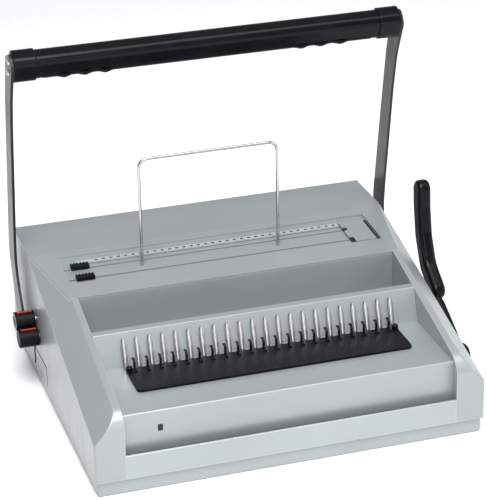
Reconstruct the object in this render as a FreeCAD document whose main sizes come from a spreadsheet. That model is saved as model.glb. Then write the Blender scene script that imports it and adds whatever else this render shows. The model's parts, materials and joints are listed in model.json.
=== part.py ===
"""A4 comb and wire binding machine with a hand punch, as separate pieces.

+Z is up, +X is to the operator's right and the operator stands on the -Y side. The origin is on the
table, in the middle of the width. All lengths are in millimetres.
"""
import FreeCAD, Part
import Sketcher
import math
import os
import re

Vector = FreeCAD.Vector

# Driving dimensions: word, value, what it is.
DIMENSIONS = [
    ("half_width", 213.5, "outer face of a side wall at its foot"),
    ("half_top", 210.4, "outer face of a side wall under the rear deck"),
    ("inner_half", 181.0, "inner face of a cheek, beside the trough and the comb station"),
    ("strip_half", 187.6, "outer edge of the narrow strip along the top of a cheek"),
    ("wall", 2.5, "thickness of the housing"),
    ("back", 180.0, "rear face"),
    ("front", -207.0, "front face of the housing"),
    ("shell_foot", 17.5, "parting line between the housing and the base tray"),
    ("deck_top", 142.3, "rear deck"),
    ("deck_fold", 92.0, "fold between the rear deck and the slot deck"),
    ("deck_front", -16.0, "front edge of the slot deck"),
    ("deck_front_top", 136.4, "height of the slot deck at its front edge"),
    ("strip_back", -16.0, "rear end of the cheek strip"),
    ("strip_back_top", 137.0, "height of the cheek strip at its rear end"),
    ("strip_front", -185.0, "front end of the cheek strip"),
    ("strip_front_top", 93.6, "height of the cheek strip at its front end"),
    ("cheek_round", 24.0, "rounding between the cheek strip and the front face"),
    ("crease_front_top", 61.0, "front end of the crease between side wall and bevel"),
    ("crease_back", 91.0, "rear end of that crease"),
    ("crease_back_top", 138.5, "height of the crease at its rear end"),
    ("trough_back", -16.0, "rear wall of the trough, inside"),
    ("trough_front", -71.7, "front wall of the trough, inside"),
    ("trough_floor", 82.0, "floor of the trough"),
    ("ridge_front", -82.0, "front edge of the ridge between trough and comb station"),
    ("ridge_top", 121.2, "top of that ridge"),
    ("shelf_back", -93.5, "back of the comb shelf"),
    ("shelf_front", -195.0, "front edge of the comb shelf"),
    ("shelf_top", 84.5, "comb shelf"),
    ("trench_floor", 27.5, "floor of the wire closing trench"),
    ("lip_top", 44.0, "top of the front lip"),
    ("tray_half", 211.5, "half width of the base tray"),
    ("tray_back", 177.5, "back of the base tray"),
    ("tray_front", -204.0, "front of the base tray"),
    ("tray_low", 1.2, "lowest edge of the base tray"),
    ("tray_floor_low", 3.5, "underside of the tray's floor"),
    ("tray_floor_top", 6.0, "upper face of the tray's floor"),
    ("pitch", 14.2875, "comb pitch, nine sixteenths of an inch"),
    ("rings", 21.0, "rings of an A4 comb"),
    ("wire_pitch", 8.4667, "wire pitch, three to the inch"),
    ("loops", 34.0, "loops of an A4 wire"),
    ("finger_width", 5.0, "width of a comb finger"),
    ("pivot_along", 95.0, "punch shaft, distance behind the middle"),
    ("pivot_up", 47.0, "punch shaft, height"),
    ("shaft_radius", 7.0, "punch shaft"),
    ("arm_inner", 219.0, "inner face of a handle arm"),
    ("arm_thick", 3.0, "plate of a handle arm"),
    ("bar_half", 194.0, "half length of the handle tube"),
    ("bar_along", 76.0, "middle of the handle bar"),
    ("bar_up", 373.0, "middle of the handle bar"),
    ("bar_tilt", 21.0, "forward tilt of the handle bar's section, degrees"),
    ("lever_along", -115.0, "lever shaft"),
    ("lever_up", 46.0, "lever shaft"),
    ("lever_inner", 226.0, "inner face of the lever plate"),
    ("boss_outer", 220.5, "outer face of the round boss behind the lever"),
    ("lever_thick", 3.0, "lever plate"),
    ("rack_radius", 28.0, "pitch radius of the carriage pinions"),
    ("tooth_module", 2.0, "size of the pinion teeth"),
    ("rack_reach", 120.0, "where the racks and pinions stand either side of the middle"),
    ("slit_rear", 54.0, "punch throat for combs"),
    ("slit_front", 29.5, "punch throat for wires"),
    ("slit_half", 1.1, "half the opening of a punch throat"),
    ("slit_left", -181.0, "left end of both throats"),
    ("slit_right", 151.0, "right end of both throats"),
    ("stroke", 8.0, "travel of the punches"),
    ("punch_height", 106.0, "height of the punched row"),
    ("upper_knob_along", 63.0, "axis of the upper knob"),
    ("upper_knob_up", 80.5, "axis of the upper knob"),
    ("lower_knob_along", 46.5, "axis of the lower knob"),
    ("lower_knob_up", 66.5, "axis of the lower knob"),
    ("knob_radius", 10.4, "radius of a knob"),
    ("knob_outer", -236.5, "outer end of a knob"),
    ("screw_radius", 4.0, "radius of a lead screw"),
    ("support_left", -93.0, "left leg of the paper support"),
    ("support_right", 65.5, "right leg of the paper support"),
    ("support_along", 42.5, "plane of the paper support"),
    ("support_low", 122.0, "lower end of the paper support's legs"),
    ("support_top", 262.0, "middle of the paper support's top rail"),
    ("support_radius", 1.7, "radius of the paper support's wire"),
    ("drawer_front", 13.5, "front side of the chip drawer"),
    ("drawer_back", 77.4, "rear side of the chip drawer"),
    ("drawer_low", 18.3, "underside of the chip drawer"),
    ("drawer_top", 42.2, "upper edge of the chip drawer"),
    ("drawer_end", 130.0, "right end of the chip drawer"),
    ("cutter_size", 900.0, "side of the large blocks that trim the sloping faces"),
]
size = {word: value for word, value, meaning in DIMENSIONS}

document = FreeCAD.newDocument("binding_machine")
sheet = document.addObject("Spreadsheet::Sheet", "Sizes")
for row, (word, value, meaning) in enumerate(DIMENSIONS, start=1):
    sheet.set("A%d" % row, meaning)
    sheet.set("B%d" % row, str(value))
    sheet.setAlias("B%d" % row, word)
document.recompute()

nodes = {}
# Each plane's direction along the world axis that it stands across.
PLANES = {"XY_Plane": 1, "XZ_Plane": -1, "YZ_Plane": 1}


def formula(text):
    """Turn words of the sheet into references to it."""
    return re.sub(r"[a-z][a-z_]+", lambda found: "Sizes." + found.group(0), str(text))


def bind(item, prop, text):
    item.setExpression(prop, formula(text))


def new_body(name):
    body = document.addObject("PartDesign::Body", name)
    body.Label = name
    body.AllowCompound = True
    return body


def keep(item, name):
    """Make an object of the document a sub-part, under its own name."""
    item.Label = name
    nodes[name] = item
    return item


def new_sketch(body, name, plane, offset):
    sketch = body.newObject("Sketcher::SketchObject", name)
    role = [item for item in body.Origin.OriginFeatures if item.Role == plane][0]
    sketch.AttachmentSupport = [(role, "")]
    sketch.MapMode = "FlatFace"
    bind(sketch, "AttachmentOffset.Base.z", "%d * (%s)" % (PLANES[plane], offset))
    return sketch


def pin_point(sketch, geometry, place, point):
    for kind, text in zip(("DistanceX", "DistanceY"), point):
        number = sketch.addConstraint(Sketcher.Constraint(kind, geometry, place, 1.0))
        bind(sketch, "Constraints[%d]" % number, text)


def draw_outline(sketch, points):
    """A closed outline of straight lines through points given as formulas."""
    count = len(points)
    first = sketch.GeometryCount
    turn = 2 * math.pi / count
    spots = [Vector(math.cos(step * turn), math.sin(step * turn), 0) for step in range(count)]
    for step in range(count):
        sketch.addGeometry(Part.LineSegment(spots[step], spots[(step + 1) % count]))
    joins = []
    for step in range(count):
        joins.append(Sketcher.Constraint("Coincident", first + step, 2, first + (step + 1) % count, 1))
    sketch.addConstraint(joins)
    for step, point in enumerate(points):
        pin_point(sketch, first + step, 1, point)


def draw_circle(sketch, point, radius):
    geometry = sketch.addGeometry(Part.Circle(Vector(1, 1, 0), Vector(0, 0, 1), 1.0))
    pin_point(sketch, geometry, 3, point)
    number = sketch.addConstraint(Sketcher.Constraint("Radius", geometry, 1.0))
    bind(sketch, "Constraints[%d]" % number, radius)


def raise_sketch(body, name, sketch, plane, low, high, cut):
    """Pad or pocket a sketch from low to high along the world axis across its plane."""
    before = body.Shape.Volume if cut else 0.0
    kind = "PartDesign::Pocket" if cut else "PartDesign::Pad"
    feature = body.newObject(kind, name)
    feature.Profile = sketch
    feature.Reversed = (PLANES[plane] < 0) != cut
    bind(feature, "Length", "(%s) - (%s)" % (high, low))
    document.recompute()
    if cut and not body.Shape.Volume < before - 0.01:
        raise RuntimeError(body.Label + ": " + name + " cuts nothing")
    return feature


def prism(body, name, plane, points, low, high, cut=False):
    sketch = new_sketch(body, name + "_outline", plane, low)
    draw_outline(sketch, points)
    return raise_sketch(body, name, sketch, plane, low, high, cut)


def block(body, name, x_span, y_span, z_span, cut=False):
    """A box between formulas; spans are (low, high)."""
    corners = [(x_span[0], y_span[0]), (x_span[1], y_span[0]), (x_span[1], y_span[1]), (x_span[0], y_span[1])]
    return prism(body, name, "XY_Plane", corners, z_span[0], z_span[1], cut)


def drums(body, name, plane, rounds, low, high, cut=False):
    """Round bosses or holes; each round is (across, up, radius)."""
    sketch = new_sketch(body, name + "_outline", plane, low)
    for across, up, radius in rounds:
        draw_circle(sketch, (across, up), radius)
    return raise_sketch(body, name, sketch, plane, low, high, cut)


def repeat(body, name, feature, step, count):
    """Repeat a feature along X; step and count are formulas."""
    pattern = body.newObject("PartDesign::LinearPattern", name)
    pattern.Originals = [feature]
    pattern.Direction = (feature.Profile[0], ["H_Axis"])
    bind(pattern, "Length", "(%s) * ((%s) - 1)" % (step, count))
    bind(pattern, "Occurrences", count)
    body.Tip = pattern
    document.recompute()
    return pattern


def round_edges(body, name, spots, radius):
    """Round the edges of a body that pass nearest to the given points."""
    base = body.Tip
    chosen = []
    for spot in spots:
        vertex = Part.Vertex(Vector(*spot))
        ranked = [(edge.distToShape(vertex)[0], number)
                  for number, edge in enumerate(base.Shape.Edges, start=1)]
        chosen.append("Edge%d" % min(ranked)[1])
    fillet = body.newObject("PartDesign::Fillet", name)
    fillet.Base = (base, sorted(set(chosen)))
    fillet.Radius = radius
    document.recompute()
    return fillet


def merge(kind, name, base, tools):
    """A boolean of whole objects: kind is Cut or Fuse."""
    result = base
    for number, tool in enumerate(tools, start=1):
        step = document.addObject("Part::" + kind, "%s_%s_%d" % (name, kind.lower(), number))
        step.Base = result
        step.Tool = tool
        result = step
    document.recompute()
    return result


def soften(name, source, spots, radius):
    """Round the edges of a whole object that pass nearest to the given points."""
    chosen = set()
    for spot in spots:
        vertex = Part.Vertex(Vector(*spot))
        ranked = [(edge.distToShape(vertex)[0], number)
                  for number, edge in enumerate(source.Shape.Edges, start=1)]
        chosen.add(min(ranked)[1])
    fillet = document.addObject("Part::Fillet", name)
    fillet.Base = source
    fillet.Edges = [(number, radius, radius) for number in sorted(chosen)]
    document.recompute()
    return fillet


def grouped(name, items):
    """Identical separate pieces under one name."""
    group = document.addObject("Part::Compound", name)
    group.Links = items
    document.recompute()
    return keep(group, name)


def cylinder(name, start, direction, radius, length):
    """A Part cylinder; radius and length are formulas, start is a point."""
    item = document.addObject("Part::Cylinder", name)
    bind(item, "Radius", radius)
    bind(item, "Height", length)
    turn = FreeCAD.Rotation(Vector(0, 0, 1), Vector(*direction))
    item.Placement = FreeCAD.Placement(Vector(*start), turn)
    return item


# ------------------------------------------------------------------ sloping faces of the housing
def trimming_block(name, point, normal, inset):
    """A large block on the outer side of a sloping face, moved inwards by inset."""
    item = document.addObject("Part::Box", name)
    for side in ("Length", "Width", "Height"):
        bind(item, side, "cutter_size")
    turn = FreeCAD.Rotation(Vector(0, 0, 1), normal)
    half = size["cutter_size"] / 2
    corner = point - normal * inset + turn.multVec(Vector(-half, -half, 0))
    item.Placement = FreeCAD.Placement(corner, turn)
    return item


def side_trims(name, side, inset=0.0):
    """The blocks that give one side its bevel and its lean; side is -1 left or 1 right."""
    foot = Vector(side * size["half_width"], size["front"], size["crease_front_top"])
    crease = Vector(side * size["half_top"], size["crease_back"], size["crease_back_top"])
    strip = Vector(side * size["strip_half"], size["strip_back"], size["strip_back_top"])
    bevel = (crease - foot).cross(strip - foot).normalize()
    if bevel.z < 0:
        bevel = bevel * -1
    run = size["half_width"] - size["half_top"]
    rise = size["deck_top"] - size["crease_front_top"]
    lean = Vector(side * rise, 0, run).normalize()
    return [trimming_block(name + "_bevel", foot, bevel, inset),
            trimming_block(name + "_lean", foot, lean, inset)]


def deck_height(along):
    """Formula of the slot deck's surface at a distance behind the middle."""
    return ("deck_top - (deck_fold - (%s)) * (deck_top - deck_front_top) / (deck_fold - deck_front)"
            % along)


def side_panel(name, side):
    """A side wall whose front half is a hollow cheek with a bevelled outer face."""
    outer_x = ("-half_width", "-inner_half") if side < 0 else ("inner_half", "half_width")
    side_end = "back - wall - 0.2"
    blank = new_body(name + "_blank")
    prism(blank, "profile", "YZ_Plane", [
        (side_end, "shell_foot"), (side_end, "deck_top - wall - 0.05"),
        ("deck_fold", "deck_top - wall - 0.05"), ("strip_back", "deck_front_top - wall - 0.05"),
        ("strip_back", "strip_back_top"), ("strip_front", "strip_front_top"),
        ("front", "strip_front_top - 6"), ("front", "shell_foot")], outer_x[0], outer_x[1])
    middle = side * (size["half_width"] + size["inner_half"]) / 2
    round_edges(blank, "front_round", [(middle, size["front"], size["strip_front_top"] - 6)],
                size["cheek_round"])
    skin = size["wall"]
    hollow = new_body(name + "_hollow")
    span = ("-half_width + wall", "-inner_half - wall") if side < 0 else \
        ("inner_half + wall", "half_width - wall")
    prism(hollow, "cheek", "YZ_Plane", [
        ("back + 1", "shell_foot - 1"), ("back + 1", "deck_top + 5"), ("deck_front + 2", "deck_top + 5"),
        ("deck_front + 2", "strip_back_top - wall - 1.2"), ("strip_front", "strip_front_top - wall - 1"),
        ("front + wall + 6", "strip_front_top - 18"), ("front + wall", "strip_front_top - 30"),
        ("front + wall", "shell_foot - 1")], span[0], span[1])
    across = ("-half_width + wall", "-inner_half + 1") if side < 0 else \
        ("inner_half - 1", "half_width - wall")
    block(hollow, "rear", across, ("deck_front + wall", "back + 1"), ("shell_foot - 1", "deck_top + 5"))
    inside = merge("Cut", name + "_inside", hollow, side_trims(name + "_inner", side, skin))
    outside = merge("Cut", name + "_outside", blank, side_trims(name + "_outer", side))
    strip = ((size["strip_half"] + 0.5) * side, -100.0, 115.3)
    crease = ((size["half_width"] - 1.5) * side, -58.0, 99.7)
    foot = (size["half_width"] * side, size["front"], 40.0)
    outside = soften(name + "_foot_edge", outside, [foot], 3.0)
    outside = soften(name + "_long_edges", outside, [strip, crease], 1.6)
    return merge("Cut", name + "_shell", outside, [inside])


def pierce(name, shell, cutters):
    return keep(merge("Cut", name + "_pierced", shell, cutters), name)


def make_side_panels():
    left = side_panel("left_side_panel", -1)
    holes = new_body("left_side_holes")
    block(holes, "drawer_mouth", ("-half_width - 5", "-half_width + 6"),
          ("drawer_front - 1.4", "drawer_back + 1.4"), ("shell_foot - 2", "drawer_top + 1.4"))
    drums(holes, "shaft_hole", "YZ_Plane", [("pivot_along", "pivot_up", "shaft_radius + 0.4")],
          "-half_width - 5", "-half_width + 6")
    drums(holes, "upper_hole", "YZ_Plane", [("upper_knob_along", "upper_knob_up", "screw_radius + 0.4")],
          "-half_width - 5", "-half_width + 6")
    drums(holes, "lower_hole", "YZ_Plane", [("lower_knob_along", "lower_knob_up", "screw_radius + 0.4")],
          "-half_width - 5", "-half_width + 6")
    pierce("left_side_panel", left, [holes])

    right = side_panel("right_side_panel", 1)
    holes = new_body("right_side_holes")
    drums(holes, "shaft_hole", "YZ_Plane", [("pivot_along", "pivot_up", "shaft_radius + 0.4")],
          "half_width - 6", "half_width + 5")
    drums(holes, "lever_hole", "YZ_Plane", [("lever_along", "lever_up", "5.5")],
          "inner_half - 2", "half_width + 5")
    pierce("right_side_panel", right, [holes])


def make_rear_cover():
    body = new_body("rear_cover_blank")
    prism(body, "fold", "YZ_Plane", [
        ("back", "shell_foot"), ("back", "deck_top"), ("deck_fold", "deck_top"),
        ("deck_fold", "deck_top - wall"), ("back - wall", "deck_top - wall"),
        ("back - wall", "shell_foot")], "-half_width", "half_width")
    round_edges(body, "back_round", [(0, size["back"], size["deck_top"])], 1.8)
    trims = side_trims("rear_cover_left", -1) + side_trims("rear_cover_right", 1)
    keep(merge("Cut", "rear_cover_trimmed", body, trims), "rear_cover")


def make_slot_deck():
    body = new_body("slot_deck_blank")
    prism(body, "sheet", "YZ_Plane", [
        ("deck_fold - 0.3", "deck_top"), ("deck_fold - 0.3", "deck_top - wall"),
        ("deck_front + 0.1", "deck_front_top - wall"), ("deck_front + 0.1", "deck_front_top")],
        "-half_width", "half_width")
    pan_rear = "85"
    pan_front = "14"
    prism(body, "pan", "YZ_Plane", [
        (pan_rear, deck_height(pan_rear) + " - 1"), (pan_rear, deck_height(pan_rear) + " - 5"),
        (pan_front, deck_height(pan_front) + " - 5"), (pan_front, deck_height(pan_front) + " - 1")],
        "-inner_half - 2", "inner_half + 2")
    recess_rear = "82"
    recess_front = "17"
    prism(body, "recess", "YZ_Plane", [
        (recess_rear, deck_height(recess_rear) + " + 2"), (recess_rear, deck_height(recess_rear) + " - 3"),
        (recess_front, deck_height(recess_front) + " - 3"),
        (recess_front, deck_height(recess_front) + " + 2")],
        "-inner_half", "inner_half", cut=True)
    for name, along in (("rear_throat", "slit_rear"), ("front_throat", "slit_front")):
        block(body, name, ("slit_left + 1", "slit_right"), (along + " - 1.5", along + " + 1.5"),
              ("deck_front_top - 12", "deck_top + 2"), cut=True)
    drums(body, "support_holes", "XY_Plane", [
        ("support_left", "support_along", "support_radius + 0.4"),
        ("support_right", "support_along", "support_radius + 0.4")],
        "deck_front_top - 12", "deck_top + 2", cut=True)
    trims = side_trims("slot_deck_left", -1) + side_trims("slot_deck_right", 1)
    keep(merge("Cut", "slot_deck_trimmed", body, trims), "slot_deck")


def make_trough_tray():
    body = keep(new_body("trough_tray"), "trough_tray")
    prism(body, "channel", "YZ_Plane", [
        ("trough_back + wall", "trough_floor - wall"), ("trough_back + wall", "deck_front_top - wall - 0.1"),
        ("trough_back", "deck_front_top - wall - 0.1"), ("trough_back", "trough_floor"),
        ("trough_front", "trough_floor"), ("trough_front", "ridge_top - wall - 0.05"),
        ("trough_front - wall", "ridge_top - wall - 0.05"), ("trough_front - wall", "trough_floor - wall")],
        "-inner_half + 0.1", "inner_half - 0.1")
    low = size["trough_floor"]
    round_edges(body, "inside_round", [(0, size["trough_back"], low), (0, size["trough_front"], low)], 4.0)


def make_comb_panel():
    body = keep(new_body("comb_panel"), "comb_panel")
    prism(body, "fold", "YZ_Plane", [
        ("trough_front", "ridge_top"), ("ridge_front", "ridge_top"), ("shelf_back", "shelf_top + 0.05"),
        ("shelf_back + 5", "shelf_top + 0.05"), ("ridge_front + 5", "ridge_top - wall"),
        ("trough_front", "ridge_top - wall")], "-inner_half + 0.1", "inner_half - 0.1")
    round_edges(body, "ridge_round", [(0, size["ridge_front"], size["ridge_top"]),
                                      (0, size["trough_front"], size["ridge_top"])], 1.0)
    first = "-pitch * rings / 2 - 1.7"
    groove = prism(body, "groove", "XZ_Plane", [
        (first, "shelf_top + 3"), (first + " + 3.4", "shelf_top + 3"), (first + " + 3.4", "ridge_top - 8.5"),
        (first + " + 2.5", "ridge_top - 7"), (first + " + 0.9", "ridge_top - 7"), (first, "ridge_top - 8.5")],
        "shelf_back - 3", "ridge_front - 1", cut=True)
    repeat(body, "grooves", groove, "pitch", "rings + 1")


def make_comb_fingers():
    """Bright metal tines that stand in front of the panel and hold the comb's spine."""
    half = size["finger_width"] / 2
    tall = 33.0
    # Pointed front outline, then a bowed section; the finger is what both have in common.
    rise = [(half, 0.0), (half, 24.0), (half - 0.3, 27.0), (half - 0.9, 30.0), (half - 1.7, 32.3), (0.4, tall)]
    outline = [Vector(x, -1, z) for x, z in rise] + [Vector(-x, -1, z) for x, z in reversed(rise)]
    front = Part.Face(Part.makePolygon(outline + outline[:1])).extrude(Vector(0, 5, 0))
    bow = Part.Arc(Vector(-half, 1.2, 0), Vector(0, 0, 0), Vector(half, 1.2, 0)).toShape()
    sides = [Part.LineSegment(Vector(half, 1.2, 0), Vector(half, 2.2, 0)).toShape(),
             Part.LineSegment(Vector(half, 2.2, 0), Vector(-half, 2.2, 0)).toShape(),
             Part.LineSegment(Vector(-half, 2.2, 0), Vector(-half, 1.2, 0)).toShape()]
    finger = Part.Face(Part.Wire([bow] + sides)).extrude(Vector(0, 0, tall)).common(front)
    count = int(size["rings"]) + 1
    fingers = []
    for number in range(count):
        copy = finger.copy()
        copy.translate(Vector((number - size["rings"] / 2) * size["pitch"], 0, 0))
        fingers.append(copy)
    # They lean back as much as the panel behind them.
    lean = math.degrees(math.atan2(size["ridge_front"] - size["shelf_back"],
                                   size["ridge_top"] - size["shelf_top"]))
    place = FreeCAD.Placement(Vector(0, size["shelf_back"] - 5.6, size["shelf_top"] + 0.8),
                              FreeCAD.Rotation(Vector(1, 0, 0), -lean))
    shaped("comb_fingers", Part.makeCompound(fingers), place)


def make_shelf_panel():
    body = keep(new_body("shelf_panel"), "shelf_panel")
    prism(body, "fold", "YZ_Plane", [
        ("shelf_back + 5", "shelf_top"), ("shelf_front", "shelf_top"), ("shelf_front", "trench_floor"),
        ("front + wall + 0.1", "trench_floor"), ("front + wall + 0.1", "trench_floor - wall"),
        ("shelf_front + wall", "trench_floor - wall"), ("shelf_front + wall", "shelf_top - wall"),
        ("shelf_back + 5", "shelf_top - wall")], "-inner_half + 0.1", "inner_half - 0.1")
    round_edges(body, "edge_round", [(0, size["shelf_front"], size["shelf_top"])], 2.2)
    for number, side in enumerate((-1, 1)):
        middle = "%d * rack_reach" % side
        block(body, "rack_slot_%d" % number, (middle + " - 3.2", middle + " + 3.2"),
              ("lever_along - 37", "lever_along + 6.5"), ("shelf_top - wall - 1", "shelf_top + 1"), cut=True)
    block(body, "jaw_slot", ("-inner_half + 12", "inner_half - 12"), ("shelf_front - 1", "shelf_front + wall + 1"),
          ("trench_floor + 2", "lip_top - 5"), cut=True)


def make_front_cover():
    body = keep(new_body("front_cover"), "front_cover")
    block(body, "face", ("-inner_half + 0.1", "inner_half - 0.1"), ("front", "front + wall"),
          ("shell_foot", "lip_top"))
    round_edges(body, "lip_round", [(0, size["front"], size["lip_top"])], 1.4)


def make_base():
    body = keep(new_body("base_tray"), "base_tray")
    block(body, "skirt", ("-tray_half", "tray_half"), ("tray_front", "tray_back"),
          ("tray_low", "shell_foot - 0.1"))
    corners = [(x * size["tray_half"], y, 10) for x in (-1, 1) for y in (size["tray_front"], size["tray_back"])]
    round_edges(body, "corner_round", corners, 4.0)
    for name, low, high in (("upper_space", "tray_floor_top", "shell_foot + 1"),
                            ("lower_space", "tray_low - 1", "tray_floor_low")):
        block(body, name, ("-tray_half + wall", "tray_half - wall"),
              ("tray_front + wall", "tray_back - wall"), (low, high), cut=True)
    drums(body, "screw_holes", "XY_Plane", [(x, y, "1.6") for x in ("-188", "188") for y in ("-120", "-2", "140")],
          "tray_low", "tray_floor_top + 1", cut=True)

    feet = []
    for number, (x, y) in enumerate([(-190, -182), (190, -182), (-190, 155), (190, 155), (0, 0)]):
        feet.append(cylinder("foot_%d" % number, (x, y, 0), (0, 0, 1), "9", "tray_floor_low"))
    grouped("rubber_feet", feet)

    screws = []
    for number, (x, y) in enumerate([(x, y) for x in (-188, 188) for y in (-120, -2, 140)]):
        head = cylinder("screw_head_%d" % number, (x, y, 1.5), (0, 0, 1), "3.5", "tray_floor_low - 1.5")
        shank = cylinder("screw_shank_%d" % number, (x, y, 1.5), (0, 0, 1), "1.5", "10")
        screws.append(merge("Fuse", "screw_%d" % number, head, [shank]))
    grouped("base_screws", screws)

    heads = []
    for number, (x, z) in enumerate([(x, z) for x in (-185, -65, 65, 185) for z in (30, 125)]):
        heads.append(cylinder("cover_screw_%d" % number, (x, size["back"], z), (0, 1, 0), "3.4", "1.4"))
    grouped("cover_screws", heads)


def make_frames():
    """Steel side frames on the base that carry the shafts and the die block."""
    for name, side in (("left_frame", -1), ("right_frame", 1)):
        low, high = ("-196", "-193.5") if side < 0 else ("193.5", "196")
        body = keep(new_body(name), name)
        prism(body, "plate", "YZ_Plane", [
            ("155", "tray_floor_top"), ("155", "120"), ("8", "120"), ("-6", "74"), ("-140", "66"),
            ("-140", "tray_floor_top")], low, high)
        flange = ("-193.6", "-182") if side < 0 else ("182", "193.6")
        block(body, "flange", flange, ("-140", "155"), ("tray_floor_top", "tray_floor_top + wall"))
        across = "-188" if side < 0 else "188"
        drums(body, "screw_holes", "XY_Plane", [(across, y, "1.6") for y in ("-120", "-2", "140")],
              "tray_floor_top - 1", "tray_floor_top + wall + 1", cut=True)
        rounds = [("pivot_along", "pivot_up", "shaft_radius + 3.1")]
        if side < 0:
            rounds += [("upper_knob_along", "upper_knob_up", "screw_radius + 0.1"),
                       ("lower_knob_along", "lower_knob_up", "screw_radius + 0.1")]
            block(body, "drawer_gap", (low + " - 1", high + " + 13"),
                  ("drawer_front - 4", "drawer_back + 4"), ("tray_floor_top - 1", "drawer_top + 1.4"), cut=True)
        else:
            rounds.append(("lever_along", "lever_up", "5.1"))
        drums(body, "bearing_holes", "YZ_Plane", rounds, low + " - 1", high + " + 1", cut=True)

    bushes = []
    for name, side in (("left_bush", -1), ("right_bush", 1)):
        body = new_body(name)
        start = "-199" if side < 0 else "190.5"
        drums(body, "sleeve", "YZ_Plane", [("pivot_along", "pivot_up", "shaft_radius + 3")],
              start, start + " + 8.5")
        drums(body, "bore", "YZ_Plane", [("pivot_along", "pivot_up", "shaft_radius + 0.05")],
              start + " - 1", start + " + 10", cut=True)
        bushes.append(body)
    grouped("shaft_bushes", bushes)

    springs = []
    coils = 6
    coil_pitch = 2.6
    for name, side in (("left_spring", -1), ("right_spring", 1)):
        rings = []
        for turn in range(coils):
            ring = document.addObject("Part::Torus", "%s_coil_%d" % (name, turn))
            bind(ring, "Radius1", "shaft_radius + 3.2")
            ring.Radius2 = 1.4
            across = side * (170 + coil_pitch * turn)
            ring.Placement = FreeCAD.Placement(Vector(across, size["pivot_along"], size["pivot_up"]),
                                               FreeCAD.Rotation(Vector(0, 0, 1), Vector(1, 0, 0)))
            rings.append(ring)
        springs.append(merge("Fuse", name, rings[0], rings[1:]))
    grouped("handle_springs", springs)


def make_die_block():
    """Steel block with both paper throats, guiding the punches on either side of the sheets."""
    body = keep(new_body("die_block"), "die_block")
    block(body, "steel", ("-160", "165"), ("20", "66"), ("96", "130"))
    for name, along in (("rear_throat", "slit_rear"), ("front_throat", "slit_front")):
        block(body, name, ("-161", "slit_right"), (along + " - slit_half", along + " + slit_half"),
              ("101", "131"), cut=True)
    drums(body, "support_bores", "XY_Plane", [
        ("support_left", "support_along", "support_radius + 0.3"),
        ("support_right", "support_along", "support_radius + 0.3")], "95", "131", cut=True)
    first = "-pitch * (rings - 1) / 2"
    hole = prism(body, "comb_hole", "XZ_Plane", [
        (first + " - 4.3", "punch_height - 2"), (first + " + 4.3", "punch_height - 2"),
        (first + " + 4.3", "punch_height + 2"), (first + " - 4.3", "punch_height + 2")],
        "47", "67", cut=True)
    repeat(body, "comb_holes", hole, "pitch", "rings")
    hole = drums(body, "wire_hole", "XZ_Plane", [("-wire_pitch * (loops - 1) / 2", "punch_height", "2.1")],
                 "19", "36.5", cut=True)
    repeat(body, "wire_holes", hole, "wire_pitch", "loops")


def make_deck_fittings():
    body = keep(new_body("hole_strip"), "hole_strip")
    low = deck_height("66") + " - 2.6"
    block(body, "strip", ("-163", "wire_pitch * loops / 2 + 1.5"), ("62.6", "69.8"), (low, low + " + 1.8"))
    first = "-wire_pitch * (loops - 1) / 2"
    hole = block(body, "window", (first + " - 1.7", first + " + 1.7"), ("64.5", "67.9"),
                 (low + " + 0.6", low + " + 3"), cut=True)
    repeat(body, "windows", hole, "wire_pitch", "loops")

    # The end plate lies in the recess, tilted like the slot deck.
    body = keep(new_body("end_plate"), "end_plate")
    prism(body, "plate", "XY_Plane", [
        ("slit_right + 1", "-30"), ("inner_half - 5", "-30"), ("inner_half - 5", "20"),
        ("slit_right - 4", "20"), ("slit_right - 4", "8"), ("slit_right + 1", "7"), ("slit_right + 1", "0"),
        ("slit_right - 4", "-2"), ("slit_right - 4", "-17"), ("slit_right + 1", "-18")], "0", "1.6")
    middle = 50.0
    slope = (size["deck_top"] - size["deck_front_top"]) / (size["deck_fold"] - size["deck_front"])
    height = size["deck_top"] - (size["deck_fold"] - middle) * slope - 2.2
    body.Placement = FreeCAD.Placement(Vector(0, middle, height),
                                       FreeCAD.Rotation(Vector(1, 0, 0), math.degrees(math.atan(slope))))


def rounded_bar(start, finish, half_height, half_depth, corner):
    """A bar along X with a rounded section, made about the X axis."""
    straight_up = half_height - corner
    straight_along = half_depth - corner
    points = []
    for along, up, first_angle in ((straight_along, straight_up, 0), (-straight_along, straight_up, 90),
                                   (-straight_along, -straight_up, 180), (straight_along, -straight_up, 270)):
        for angle in (first_angle, first_angle + 45, first_angle + 90):
            turn = math.radians(angle)
            points.append(Vector(start, along + corner * math.cos(turn), up + corner * math.sin(turn)))
    edges = []
    for step in range(4):
        first, middle, last = points[3 * step:3 * step + 3]
        following = points[(3 * step + 3) % len(points)]
        edges.append(Part.Arc(first, middle, last).toShape())
        edges.append(Part.LineSegment(last, following).toShape())
    return Part.Face(Part.Wire(edges)).extrude(Vector(finish - start, 0, 0))


def shaped(name, shape, placement=FreeCAD.Placement()):
    item = document.addObject("Part::Feature", name)
    item.Shape = shape
    item.Placement = placement
    return keep(item, name)


def curved_plate(points, low, high):
    """A plate between two X values; points are (along, up, corner radius), corners rounded."""
    corners = [Vector(low, along, up) for along, up, radius in points]
    edges = []
    joints = []
    count = len(points)
    for step, (along, up, radius) in enumerate(points):
        here = corners[step]
        before = (corners[step - 1] - here).normalize()
        after = (corners[(step + 1) % count] - here).normalize()
        half = before.getAngle(after) / 2
        back_off = radius / math.tan(half)
        start = here + before * back_off
        finish = here + after * back_off
        bisector = (before + after).normalize()
        middle = here + bisector * (radius / math.sin(half) - radius)
        joints.append((start, middle, finish))
    for step, (start, middle, finish) in enumerate(joints):
        edges.append(Part.Arc(start, middle, finish).toShape())
        following = joints[(step + 1) % count][0]
        if finish.distanceToPoint(following) > 1e-6:
            edges.append(Part.LineSegment(finish, following).toShape())
    face = Part.Face(Part.Wire(edges))
    return face.extrude(Vector(high - low, 0, 0))


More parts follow.
